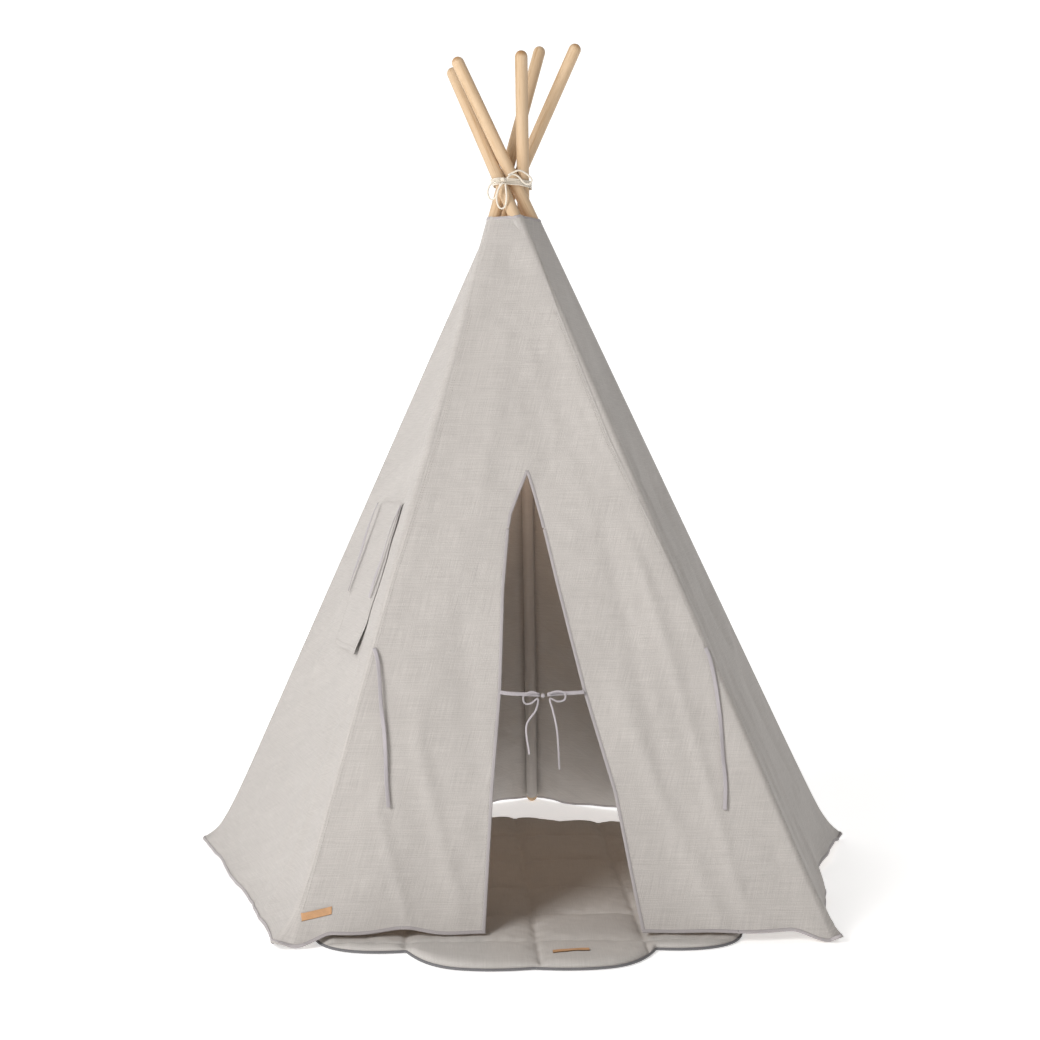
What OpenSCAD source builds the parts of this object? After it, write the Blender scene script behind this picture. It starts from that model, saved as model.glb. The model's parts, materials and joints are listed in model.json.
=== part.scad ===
// Teepee tent for a child's room: five wooden poles crossed and lashed at the
// crown, a linen cover with a slit door and a flap window, and a quilted mat.
// Origin: on the floor, under the mat. +Z is up and the door faces -Y.

/* [Poles] */
// Length of each pole, between its domed ends
pole_len = 1800; // [1790:5:1810]
// Diameter of each pole
pole_d = 24; // [22:0.5:24]
// Height at which the poles cross
crown_h = 1352; // [1350:1:1354]

/* [Cover] */
// Thickness of the linen, as a solid
fabric_t = 2; // [1:0.5:2]
// Wall of the sleeve that holds each pole
sleeve_t = 0.95; // [0.5:0.05:0.95]
// Height of the hem above the floor
hem_h = 20; // [18:1:24]
// Height at which the panels meet the collar
panel_top_h = 1262; // [1240:1:1264]
// Width of the tape that binds an edge
binding_w = 5; // [3:0.5:6]

/* [Door] */
// Height of the top of the slit
slit_top_h = 795; // [780:1:800]
// Height at which the flaps start to turn
flap_top_h = 700; // [690:1:700]
// Distance of the left flap's fold line from the middle, at the hem
left_fold_x = 235; // [225:1:240]
// Distance of the right flap's fold line from the middle, at the hem
right_fold_x = 335; // [325:1:340]

/* [Mat] */
// Half the width of the mat, to the outside of its scallops
mat_rx = 508; // [495:1:515]
// Half the depth of the mat, to the outside of its scallops
mat_ry = 590; // [570:1:590]
// Depth of each notch between two scallops
mat_notch = 60; // [50:1:65]
// Depth of the shallow notch at the middle of the front
front_notch = 16; // [10:1:20]
// Thickness of the padding
mat_t = 15; // [10:1:15]
// Number of scallops round the edge
mat_lobes = 13; // [12:1:16]
// Height of the piping round the edge
piping_h = 8; // [6:1:8]

/* [Cords] */
// Width of the linen tapes
tape_w = 7; // [5:0.5:8]
// Thickness of the linen tapes
tape_t = 1.2; // [0.8:0.1:1.4]
// Diameter of the cotton rope at the crown
rope_d = 3.6; // [3:0.1:3.8]

/* [Hidden] */
// Where each pole stands, and where it crosses the crown plane, as [x, y]
POLE_FEET = [[-409, -517], [493, -532], [654, 239], [44, 708], [-632, 247]];
POLE_CROWN = [[-45.5, -28], [-52, -55], [-22.5, -42], [-6.5, -20.5], [-23.5, 0.5]];
FRONT_LEFT = 0;
FRONT_RIGHT = 1;
RIGHT = 2;
BACK = 3;
LEFT = 4;

FRONT_PANEL = 0;
SIDE_PANEL_RIGHT = 1;
REAR_PANEL_RIGHT = 2;
REAR_PANEL_LEFT = 3;
SIDE_PANEL_LEFT = 4;

pole_r = pole_d / 2;
sleeve_gap = 0.05;
sleeve_r = pole_r + sleeve_gap + sleeve_t;
sleeve_top = 90;
sleeve_bottom = 25;
panel_inner = sleeve_r - fabric_t;
edge_gap = 16;
fold_gap = 0.4;
tip_cut = 12;
slit_tape_rise = 2;
slit_overlap = 10;
beyond = 500;
collar_h = 1280;
collar_t = 2;
collar_gap = 5;
lashing_h = 16;
lashing_gap = 2.2;
mat_center = [-15, -120];
MAT_FRONT = 270;
piping_w = 6;
label_t = 1;
MAT_LABEL = [60, 14, label_t];
mat_label_x = 18;
mat_label_inset = 10;
crown_knot_r = 5;
door_knot_r = 4.5;
ring_sides = 8;

// The slit's edges below the flap tops, as [x, z] on the front panel
SLIT_LEFT = [[-42, flap_top_h], [-53, 586], [-60, 414], [-76, 242], [-91, hem_h]];
SLIT_RIGHT = [[18, flap_top_h], [41, 614], [85, 411], [131, 260], [175, hem_h]];
SLIT_HEAD = [SLIT_LEFT[0], [-39, 721], [-8, slit_top_h], [2, 762], SLIT_RIGHT[0]];

// The window flap and the opening under it, as [s, t] on the left panel
WINDOW_FLAP = [[-60, 780], [132, 780], [185, 488], [-12, 488]];
WINDOW_HOLE = [[-38, 764], [108, 764], [152, 512], [8, 512]];
window_flap_gap = 1;
window_flap_t = 1.5;

// Routes of the tapes on the front panel: x, z, distance from the linen
TIEBACK_LEFT = [[-284, 484, 1.4], [-278, 464, 4], [-274, 430, 5], [-271, 388, 5], [-265, 344, 5],
    [-262, 300, 5], [-260, 260, 5], [-256, 219, 5]];
TIEBACK_RIGHT = [[304, 484, 7.5], [311, 464, 8], [317, 430, 8], [322, 388, 7], [325, 344, 6],
    [326, 300, 5], [328, 256, 5], [325, 213, 5]];
DOOR_TIE_LEFT = [[-62, 408, 0.7], [-42, 406, 4], [-16, 405, 4], [8, 404, 4]];
DOOR_TIE_RIGHT = [[87, 408, 0.7], [66, 407, 4], [44, 406, 4], [21, 404, 4]];
BOW_LEFT = [[4, 407, 10], [-8, 410, 12], [-21, 403, 13], [-19, 391, 13], [-8, 391, 14], [4, 399, 15],
    [0, 380, 17], [-17, 352, 13], [-12, 305, 8]];
BOW_RIGHT = [[23, 407, 10], [38, 411, 12], [51, 408, 13], [51, 397, 13], [38, 394, 14], [25, 399, 15],
    [30, 378, 17], [37, 342, 12], [40, 280, 8]];
DOOR_KNOT = [13.5, 403, 7];

// Routes of the window ribbons on the flap: s, t, distance from the flap
WINDOW_RIBBON_LEFT = [[-52, 774, 1], [-46, 744, 4], [-40, 706, 5], [-34, 668, 4], [-29, 630, 5],
    [-25, 592, 4]];
WINDOW_RIBBON_RIGHT = [[124, 774, 1], [127, 742, 4], [132, 704, 5], [137, 666, 4], [142, 628, 5],
    [146, 592, 4]];

// Routes of the rope's loops at the crown, as [x, y, z]
CROWN_KNOT = [-47, -81.5, 1354];
CROWN_LOOP_LEFT = [[-54, -81, 1356], [-64, -82, 1352], [-73, -81, 1342], [-77, -79, 1330],
    [-72, -78, 1317], [-63, -80, 1319], [-57, -82, 1334], [-52, -81, 1347]];
CROWN_LOOP_RIGHT = [[-40, -81, 1357], [-30, -82, 1364], [-18, -81, 1360], [-8, -80, 1349],
    [2, -79, 1345], [8, -79, 1354], [-2, -81, 1365], [-18, -85, 1371], [-38, -85, 1362]];
CROWN_TAIL = [[-47, -86, 1348], [-56, -87, 1336], [-60, -87, 1319], [-57, -86, 1304],
    [-50, -85, 1298], [-43, -86, 1304], [-41, -88, 1321], [-43, -86, 1345]];

// Colours
LINEN = [0.79, 0.77, 0.75];
LINEN_LIGHT = [0.84, 0.83, 0.81];
LINEN_SHADE = [0.68, 0.65, 0.61];
BINDING = [0.62, 0.61, 0.62];
PINE = [0.87, 0.75, 0.57];
COTTON = [0.88, 0.85, 0.80];
LEATHER = [0.77, 0.59, 0.43];
PIPING = [0.43, 0.43, 0.44];

function unit(v) = v / norm(v);
function flat(v) = [v.x, v.y, 0];
function mean(a, b) = (a + b) / 2;
function foot(i) = [POLE_FEET[i].x, POLE_FEET[i].y, 0];
function crown(i) = [POLE_CROWN[i].x, POLE_CROWN[i].y, crown_h];
function outward(i) = unit(flat(foot(i) - crown(i)));
function sideways(i) = cross([0, 0, 1], outward(i));
function tilt(i) = atan2(norm(flat(foot(i) - crown(i))), crown_h);
function heading(i) = atan2(outward(i).y, outward(i).x);
function at_height(i, z) = crown(i) + (foot(i) - crown(i)) * (1 - z / crown_h);

// A panel's own frame: along the hem, up the slope, and outwards
function last(p) = (p + 1) % 5;
function hem_mid(p) = mean(foot(p), foot(last(p)));
function panel_x(p) = unit(foot(last(p)) - foot(p));
function panel_rise(p) = mean(crown(p), crown(last(p))) - hem_mid(p);
function panel_y(p) = unit(panel_rise(p) - (panel_rise(p) * panel_x(p)) * panel_x(p));
function panel_z(p) = cross(panel_x(p), panel_y(p));
function panel_o(p) = hem_mid(p) + panel_z(p) * panel_inner;
function on_panel(p, s, t, d) = panel_o(p) + s * panel_x(p) + t * panel_y(p) + d * panel_z(p);
function slope_at(p, z) = (z - panel_o(p).z) / panel_y(p).z;

// Where a panel is cut, so that the pole beside it can swing in
function cut_s(p, i, way, t) =
    (way * edge_gap - (on_panel(p, 0, t, 0) - crown(i)) * sideways(i)) / (panel_x(p) * sideways(i));
function left_s(p, t) = cut_s(p, p, 1, t);
function right_s(p, t) = cut_s(p, last(p), -1, t);

// A point of the front panel from its x and z, as [s, t], and in space
function front_y(x, z, d) =
    (panel_z(FRONT_PANEL) * panel_o(FRONT_PANEL) + d - panel_z(FRONT_PANEL).x * x
        - panel_z(FRONT_PANEL).z * z) / panel_z(FRONT_PANEL).y;
function front_point(x, z, d) = [x, front_y(x, z, d), z];
function front_st(q) =
    [(front_point(q.x, q.y, 0) - panel_o(FRONT_PANEL)) * panel_x(FRONT_PANEL),
        (front_point(q.x, q.y, 0) - panel_o(FRONT_PANEL)) * panel_y(FRONT_PANEL)];
function front_all(points) = [for (q = points) front_st(q)];
function moved(points, dx) = [for (q = points) [q.x + dx, q.y]];
function reversed(points) = [for (i = [len(points) - 1:-1:0]) points[i]];
function on_front(points) = [for (q = points) front_point(q.x, q.y, fabric_t + q.z)];
function flap_face() = fabric_t + window_flap_gap + window_flap_t;
function on_window(points) =
    [for (q = points) on_panel(SIDE_PANEL_LEFT, q.x, q.y, flap_face() + q.z)];

// A cord's rings: an ellipse across the route at each of its points
function ahead(route, i) = unit(route[min(i + 1, len(route) - 1)] - route[max(i - 1, 0)]);
function across(route, i, face) = unit(cross(ahead(route, i), face));
function ring(route, i, face, w, t, sides) =
    let (b = across(route, i, face), n = cross(b, ahead(route, i)))
    [for (k = [0:sides - 1]) route[i] + b * w / 2 * cos(360 * k / sides)
        + n * t / 2 * sin(360 * k / sides)];

// A cord as one closed skin along its route
module cord(route, face, w, t) {
    sides = ring_sides;
    rings = len(route);
    points = [for (i = [0:rings - 1]) each ring(route, i, face, w, t, sides)];
    walls = [for (i = [0:rings - 2]) for (k = [0:sides - 1])
        let (a = i * sides + k, b = i * sides + (k + 1) % sides)
        each [[a, b, a + sides], [b, b + sides, a + sides]]];
    start = [[for (k = [0:sides - 1]) sides - 1 - k]];
    end = [[for (k = [0:sides - 1]) (rings - 1) * sides + k]];
    polyhedron(points = points, faces = concat(start, walls, end));
}

// Turns the Z axis down along pole i, with the origin at the crown
module along_pole(i) {
    translate(crown(i)) rotate([0, 0, heading(i)]) rotate([0, 180 - tilt(i), 0]) children();
}

module pole(i) {
    reach = crown_h / cos(tilt(i)) - pole_r / cos(tilt(i));
    color(PINE) along_pole(i) {
        translate([0, 0, reach]) sphere(r = pole_r, $fn = 48);
        translate([0, 0, reach - pole_len + pole_d]) cylinder(r = pole_r, h = pole_len - pole_d, $fn = 48);
        translate([0, 0, reach - pole_len + pole_d]) sphere(r = pole_r, $fn = 48);
    }
}

module sleeve(i) {
    bottom = (crown_h - sleeve_bottom) / cos(tilt(i));
    color(LINEN_LIGHT) along_pole(i) difference() {
        translate([0, 0, sleeve_top]) cylinder(r = sleeve_r, h = bottom - sleeve_top, $fn = 48);
        cylinder(r = pole_r + sleeve_gap, h = 2 * crown_h, $fn = 48);
    }
}

// Lays a flat shape on a panel, from depth a to depth b
module lay(p, a, b) {
    multmatrix([
        [panel_x(p).x, panel_y(p).x, panel_z(p).x, panel_o(p).x],
        [panel_x(p).y, panel_y(p).y, panel_z(p).y, panel_o(p).y],
        [panel_x(p).z, panel_y(p).z, panel_z(p).z, panel_o(p).z],
        [0, 0, 0, 1]
    ]) translate([0, 0, a]) linear_extrude(height = b - a) children();
}

// The outline of a panel between two heights
module outline(p, low, high) {
    a = slope_at(p, low);
    b = slope_at(p, high);
    polygon([[left_s(p, a), a], [right_s(p, a), a], [right_s(p, b), b], [left_s(p, b), b]]);
}

// A whole panel, above its hem tape
module panel(p, tone) {
    color(tone) lay(p, 0, fabric_t) outline(p, hem_h + binding_w, panel_top_h);
}

// The part of the front that the two flaps and the slit take
module doorway() {
    polygon(front_all(concat([[-left_fold_x, hem_h]], SLIT_HEAD, [[right_fold_x, hem_h],
        [right_fold_x, -hem_h], [-left_fold_x, -hem_h]])));
}

module front_panel() {
    color(LINEN) lay(FRONT_PANEL, 0, fabric_t) difference() {
        outline(FRONT_PANEL, hem_h + binding_w, panel_top_h);
        doorway();
        polygon(front_all(concat(slit_tape_edge(), [SLIT_HEAD[4] - [0, slit_overlap],
            SLIT_HEAD[0] - [0, slit_overlap]])));
    }
}

// The slit's head, moved out by the width of its tape
function slit_tape_edge() =
    [SLIT_HEAD[0] - [binding_w, 0], SLIT_HEAD[1] + [-binding_w, slit_tape_rise],
        SLIT_HEAD[2] + [0, 2 * binding_w], SLIT_HEAD[3] + [binding_w, slit_tape_rise],
        SLIT_HEAD[4] + [binding_w, 0]];

module slit_binding() {
    color(BINDING) lay(FRONT_PANEL, 0, fabric_t) polygon(front_all(concat(SLIT_HEAD,
        reversed(slit_tape_edge()))));
}

module side_panel_left() {
    color(LINEN_LIGHT) lay(SIDE_PANEL_LEFT, 0, fabric_t) difference() {
        outline(SIDE_PANEL_LEFT, hem_h + binding_w, panel_top_h);
        polygon(WINDOW_HOLE);
    }
}

// The hem tape of every panel, left out between the door's fold lines
module hem_binding() {
    color(BINDING) {
        for (p = [1:4]) lay(p, 0, fabric_t) outline(p, hem_h, hem_h + binding_w);
        lay(FRONT_PANEL, 0, fabric_t) difference() {
            outline(FRONT_PANEL, hem_h, hem_h + binding_w);
            polygon(front_all([[-left_fold_x, 0], [right_fold_x, 0], [right_fold_x, 2 * hem_h],
                [-left_fold_x, 2 * hem_h]]));
        }
    }
}

// The front on the slit's side of a fold line that ends at fold_x on the hem
module beyond_fold(fold_x, slit, way) {
    near = way * fold_gap;
    far = way * beyond;
    top = slit[0];
    polygon(front_all([[fold_x + near, hem_h], [top.x + near, top.y], [top.x + far, top.y],
        [top.x + far, hem_h]]));
}

// The front on the fold line's side of an edge, between two heights
module before_edge(edge, way, low, high) {
    far = -way * beyond;
    intersection() {
        polygon(front_all(concat(edge, [[far, hem_h], [far, flap_top_h]])));
        polygon(front_all([[-beyond, low], [beyond, low], [beyond, high], [-beyond, high]]));
    }
}

// One door flap: fold_x is its fold line at the hem, slit its free edge
module door_flap(fold_x, slit, way) {
    color(LINEN) lay(FRONT_PANEL, 0, fabric_t) intersection() {
        beyond_fold(fold_x, slit, way);
        before_edge(moved(slit, -way * binding_w), way, hem_h + binding_w, flap_top_h - tip_cut);
    }
}

// The tape round a flap's slit edge and hem
module door_binding(fold_x, slit, way) {
    color(BINDING) lay(FRONT_PANEL, 0, fabric_t) intersection() {
        beyond_fold(fold_x, slit, way);
        difference() {
            before_edge(slit, way, hem_h, flap_top_h - tip_cut);
            before_edge(moved(slit, -way * binding_w), way, hem_h + binding_w, flap_top_h);
        }
    }
}

module window_flap() {
    color(LINEN_LIGHT) lay(SIDE_PANEL_LEFT, fabric_t + window_flap_gap, flap_face())
        polygon(WINDOW_FLAP);
}

// The poles' outline over a range of heights, with each pole drawn as a circle of radius r
module bundle(low, high, r) {
    hull() for (i = [0:4]) for (z = [low, high])
        translate([at_height(i, z).x, at_height(i, z).y]) circle(r = r, $fn = 32);
}

// A band round the poles, between two heights
module band(low, height, r, wall) {
    translate([0, 0, low]) linear_extrude(height = height) difference() {
        bundle(low, low + height, r + wall);
        bundle(low, low + height, r);
    }
}

module collar_binding() {
    color(BINDING) band(collar_h, binding_w, pole_r + collar_gap, collar_t);
}

module crown_lashing() {
    color(COTTON) band(crown_h - lashing_h / 2, lashing_h, pole_r + lashing_gap, rope_d);
}

module crown_knot() {
    color(COTTON) translate(CROWN_KNOT) sphere(r = crown_knot_r, $fn = 32);
}

module rope(route) {
    color(COTTON) cord(route, [0, -1, 0], rope_d, rope_d);
}

module front_tape(route) {
    color(BINDING) cord(on_front(route), panel_z(FRONT_PANEL), tape_w, tape_t);
}

module bow_tape(route) {
    color(BINDING) cord(on_front(route), panel_z(FRONT_PANEL), tape_w / 2, tape_t);
}

module window_ribbon(route) {
    color(BINDING) cord(on_window(route), panel_z(SIDE_PANEL_LEFT), tape_w, tape_t);
}

module door_knot() {
    color(BINDING) translate(front_point(DOOR_KNOT.x, DOOR_KNOT.y, fabric_t + DOOR_KNOT.z))
        sphere(r = door_knot_r, $fn = 32);
}

module cover_label() {
    color(LEATHER) lay(FRONT_PANEL, fabric_t, fabric_t + label_t)
        polygon(front_all([[-403, 34], [-352, 46], [-352, 58], [-403, 46]]));
}

// The mat's scalloped outline, drawn in by a distance
function mat_dip(a) =
    (abs(a - MAT_FRONT) < 180 / mat_lobes ? front_notch : mat_notch)
        * (1 - abs(sin(mat_lobes * (a - MAT_FRONT) / 2)));
function mat_edge(a, inset) =
    mat_center + [(mat_rx - mat_dip(a) - inset) * cos(a), (mat_ry - mat_dip(a) - inset) * sin(a)];
module mat_outline(inset) {
    steps = mat_lobes * 8;
    polygon([for (k = [0:steps - 1]) mat_edge(360 * k / steps, inset)]);
}

module mat() {
    color(LINEN_LIGHT) linear_extrude(height = mat_t) mat_outline(piping_w);
}

module mat_piping() {
    color(PIPING) linear_extrude(height = piping_h) difference() {
        mat_outline(0);
        mat_outline(piping_w);
    }
}

module mat_label() {
    color(LEATHER) translate([mat_label_x, mat_center.y - mat_ry + mat_notch + mat_label_inset, mat_t])
        cube(MAT_LABEL);
}

pole(FRONT_LEFT);  // pole_front_left
pole(FRONT_RIGHT);  // pole_front_right
pole(RIGHT);  // pole_right
pole(BACK);  // pole_back
pole(LEFT);  // pole_left
sleeve(FRONT_LEFT);  // sleeve_front_left
sleeve(FRONT_RIGHT);  // sleeve_front_right
sleeve(RIGHT);  // sleeve_right
sleeve(BACK);  // sleeve_back
sleeve(LEFT);  // sleeve_left
front_panel();
panel(SIDE_PANEL_RIGHT, LINEN_SHADE);  // side_panel_right
panel(REAR_PANEL_RIGHT, LINEN);  // rear_panel_right
panel(REAR_PANEL_LEFT, LINEN);  // rear_panel_left
side_panel_left();
collar_binding();
hem_binding();
slit_binding();
door_flap(-left_fold_x, SLIT_LEFT, 1);  // door_flap_left
door_flap(right_fold_x, SLIT_RIGHT, -1);  // door_flap_right
door_binding(-left_fold_x, SLIT_LEFT, 1);  // door_binding_left
door_binding(right_fold_x, SLIT_RIGHT, -1);  // door_binding_right
front_tape(DOOR_TIE_LEFT);  // door_tie_left
front_tape(DOOR_TIE_RIGHT);  // door_tie_right
bow_tape(BOW_LEFT);  // door_bow_left
bow_tape(BOW_RIGHT);  // door_bow_right
door_knot();
front_tape(TIEBACK_LEFT);  // tieback_left
front_tape(TIEBACK_RIGHT);  // tieback_right
window_flap();
window_ribbon(WINDOW_RIBBON_LEFT);  // window_ribbon_left
window_ribbon(WINDOW_RIBBON_RIGHT);  // window_ribbon_right
crown_lashing();
crown_knot();
rope(CROWN_LOOP_LEFT);  // crown_loop_left
rope(CROWN_LOOP_RIGHT);  // crown_loop_right
rope(CROWN_TAIL);  // crown_tail
cover_label();
mat();
mat_piping();
mat_label();
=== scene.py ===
"""The looks of a child's teepee tent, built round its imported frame. All in metres."""
import json
import math

import bpy
import numpy as np
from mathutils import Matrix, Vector


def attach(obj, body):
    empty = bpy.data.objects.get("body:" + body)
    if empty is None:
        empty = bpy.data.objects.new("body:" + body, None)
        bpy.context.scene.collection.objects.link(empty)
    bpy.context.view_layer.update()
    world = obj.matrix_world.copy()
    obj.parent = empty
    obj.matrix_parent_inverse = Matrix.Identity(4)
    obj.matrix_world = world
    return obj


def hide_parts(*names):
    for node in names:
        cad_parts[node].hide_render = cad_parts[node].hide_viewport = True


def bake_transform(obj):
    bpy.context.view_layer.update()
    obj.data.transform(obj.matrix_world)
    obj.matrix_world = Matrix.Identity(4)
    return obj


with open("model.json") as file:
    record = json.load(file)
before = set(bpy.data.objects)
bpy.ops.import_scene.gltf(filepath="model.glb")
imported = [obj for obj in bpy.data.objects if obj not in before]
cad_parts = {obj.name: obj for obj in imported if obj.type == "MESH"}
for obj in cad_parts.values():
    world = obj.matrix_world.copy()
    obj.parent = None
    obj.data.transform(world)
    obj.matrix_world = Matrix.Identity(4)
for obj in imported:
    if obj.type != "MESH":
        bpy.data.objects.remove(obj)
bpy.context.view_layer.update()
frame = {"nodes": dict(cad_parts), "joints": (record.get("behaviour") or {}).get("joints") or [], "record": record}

POLES = ["front_left", "front_right", "right", "back", "left"]
PANELS = ["front", "side_right", "rear_right", "rear_left", "side_left"]
FRONT_LEFT, FRONT_RIGHT, _, _, LEFT = range(5)
FRONT, SIDE_RIGHT, REAR_RIGHT, REAR_LEFT, SIDE_LEFT = range(5)

POLE_R = 0.012
POCKET_WALL = 0.0003
POCKET_R = 0.01235       # outer face of the pocket that holds a pole; folded, the poles nearly touch
SKIN_R = 0.0136          # outer face of the cloth round a pole
PANEL_INNER = 0.011      # a flat panel's inner face, from the poles' axes
CLOTH_T = 0.0011
TAPE_T = 0.0012
TAPE_W = 0.007
ROPE_D = 0.0036
HEM_Z = 0.021
COLLAR_Z = 1.284
FLAP_TOP_Z = 0.70
SLIT_TOP_Z = 0.795
HEM_TAPE = 0.0062        # width of the tape that binds an edge
HEM_TAPE_T = CLOTH_T + 0.0014
HEAD_TAPE_T = CLOTH_T + 0.0016
HEM_RISE = 0.45 * HEM_TAPE      # from the cloth's lower edge to the tape's middle
TAPE_SIDES, TAPE_FLAT = 10, 0.6
CAD_CLOTH_T = 0.002      # the linen's thickness in the CAD
ROWS_PER_M = 125

# The slit's edges, as heights and x, and the flaps' fold lines at the hem: -1 left, 1 right
SLIT_Z = [0.02, 0.242, 0.414, 0.586, 0.70, 0.721, 0.762, 0.795]
SLIT_X = {-1: [-0.091, -0.076, -0.060, -0.053, -0.042, -0.038, -0.022, -0.008],
          1: [0.175, 0.135, 0.085, 0.044, 0.018, 0.013, 0.002, -0.008]}
FOLD_X = {-1: -0.235, 1: 0.335}

# The window's opening and its flap, as s, t on the left panel
WINDOW_HOLE = dict(top=0.764, bottom=0.512, left=(-0.038, 0.008), right=(0.108, 0.152))
WINDOW_FLAP = dict(top=0.780, bottom=0.488, left=(-0.060, -0.012), right=(0.132, 0.185))

# How far the seam beside each front pole strays from the corner, towards +X
SEAM_Z = [0.0, 0.30, 0.60, 0.85, 1.10, 1.284]
SEAM_X = {FRONT_LEFT: [-0.006, -0.006, -0.004, 0.007, 0.004, -0.002],
          FRONT_RIGHT: [0.012, 0.014, 0.004, -0.010, -0.002, 0.010]}

# The mat's outline
MAT_MID = np.array([-0.015, -0.12])
MAT_RX, MAT_RY = 0.508, 0.590
MAT_NOTCH, FRONT_NOTCH, MAT_LOBES = 0.060, 0.016, 13
PIPING_W, PIPING_H = 0.0038, 0.0048
QUILT_X = [-0.425, -0.225, -0.005, 0.178, 0.39]
QUILT_Y = [-0.55, -0.38, -0.18, 0.04, 0.27]


def unit(v):
    v = np.asarray(v, float)
    return v / np.maximum(np.linalg.norm(v, axis=-1, keepdims=True), 1e-12)


def ease(t):
    t = np.clip(t, 0, 1)
    return t * t * (3 - 2 * t)


def between(a, b, t):
    return a + (b - a) * t


# ---- camera
def camera():
    data = bpy.data.cameras.new("camera")
    data.lens, data.sensor_width, data.clip_end = 61.368, 36.0, 50.0
    data.dof.use_dof = False
    cam = bpy.data.objects.new("camera", data)
    bpy.context.scene.collection.objects.link(cam)
    cam.location = (-0.145, -3.503, 0.826)
    cam.rotation_euler = (math.radians(90 - 2.101), 0, math.radians(-2.179))
    bpy.context.scene.camera = cam


camera()

# ---- the poles, as the frame holds them
JOINTS = {j["name"]: j for j in frame["joints"]}
RATIOS = {c["joint"]: c["ratio"] for c in frame["record"]["behaviour"]["couplings"]}
LIFT = JOINTS["crown_lift"]["range_m"][1]


def pole_ends(name):
    """Where a pole crosses the crown plane and where it stands."""
    joint = JOINTS["pole_fold_" + name]
    crown = np.array(joint["pos_m"], float)
    outward = np.array([joint["axis"][1], -joint["axis"][0], 0.0])
    reach = crown[2] * math.tan(RATIOS["pole_fold_" + name] * LIFT)
    return crown, crown + outward * reach - [0, 0, crown[2]]


CROWN, FOOT = (np.array(v) for v in zip(*(pole_ends(n) for n in POLES)))
CROWN_Z = CROWN[0][2]
UP = unit(CROWN - FOOT)


def axis_at(i, z):
    return FOOT[i] + (CROWN[i] - FOOT[i]) * (np.asarray(z)[..., None] / CROWN_Z)


def panel_frame(p):
    """A panel's own frame: its origin on the inner face, along the hem, up the slope and outwards."""
    q = (p + 1) % 5
    middle, top = (FOOT[p] + FOOT[q]) / 2, (CROWN[p] + CROWN[q]) / 2
    along = unit(FOOT[q] - FOOT[p])
    slope = unit((top - middle) - np.dot(top - middle, along) * along)
    out = np.cross(along, slope)
    return middle + PANEL_INNER * out, along, slope, out


FRAMES = [panel_frame(p) for p in range(5)]


def off_axis(normal, i):
    return unit(normal - np.dot(normal, UP[i]) * UP[i])


ARRIVE = [off_axis(FRAMES[i - 1][3], i) for i in range(5)]   # where the last panel leaves the pole's skin
LEAVE = [off_axis(FRAMES[i][3], i) for i in range(5)]        # and where the next one starts
BEND = [math.acos(float(np.dot(a, b))) for a, b in zip(ARRIVE, LEAVE)]
TURN = [unit(b - np.dot(a, b) * a) for a, b in zip(ARRIVE, LEAVE)]
SKIN_DROP = 0.34 * SKIN_R     # the skin lies this much above the axis point that it is measured from


def flat_ends(i, z):
    a = axis_at(i, z - SKIN_DROP) + SKIN_R * LEAVE[i]
    b = axis_at((i + 1) % 5, z - SKIN_DROP) + SKIN_R * ARRIVE[(i + 1) % 5]
    return a, b


def flat_width(i, z):
    a, b = flat_ends(i, z)
    return np.linalg.norm(b - a, axis=-1)


def flat_start(i, z):
    """Distance round the cover, from the first pole's skin, to where panel i starts."""
    return sum(flat_width(k, z) for k in range(i)) + SKIN_R * sum(BEND[: i + 1])


def round_trip(z):
    return flat_start(4, z) + flat_width(4, z)


# ---- folds in the cloth
def waves(seed, count, longest, shortest, lean):
    """Sine waves across a panel. lean is how much more they vary sideways than upwards."""
    rng = np.random.default_rng(seed)
    length = np.exp(rng.uniform(math.log(shortest), math.log(longest), count))
    angle = rng.normal(0, 1 / lean, count)
    phase = rng.uniform(0, 2 * math.pi, count)
    size = (length / longest) ** 0.7 * rng.uniform(0.6, 1.0, count)
    number = 2 * math.pi / length
    return number * np.cos(angle), number * np.sin(angle), phase, size / math.sqrt(count / 2)


def ripple(q, z, family):
    total = 0
    for kx, kz, phase, size in zip(*family):
        total = total + size * np.sin(kx * q + kz * z + phase)
    return total


DRAPE = [waves(11 + p, 7, 0.55, 0.20, 1.6) for p in range(5)]
SOFT = [waves(31 + p, 14, 0.20, 0.075, 1.0) for p in range(5)]
CRINKLE = [waves(51 + p, 34, 0.075, 0.026, 0.6) for p in range(5)]
DRAPE_SIZE = [0.0028, 0.0030, 0.0040, 0.0040, 0.0026]
SOFT_SIZE = [0.0010, 0.0011, 0.0019, 0.0019, 0.0009]
HEM_WAVE = [0.0030, 0.0030, 0.0050, 0.0050, 0.0010]
# How far the hem stands out beyond the skin, at each pole and in the middle of each panel
POLE_FLARE = [0.028, 0.006, 0.012, 0.008, 0.018]
PANEL_FLARE = [0.017, -0.024, 0.004, 0.004, 0.024]
CRINKLE_SIZE = [0.00030, 0.00026, 0.00075, 0.00075, 0.00022]
FLARE_FADE = 0.045       # height over which the flare dies out
FRONT_CREASE = 0.62      # the front's creases are shallower

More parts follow.
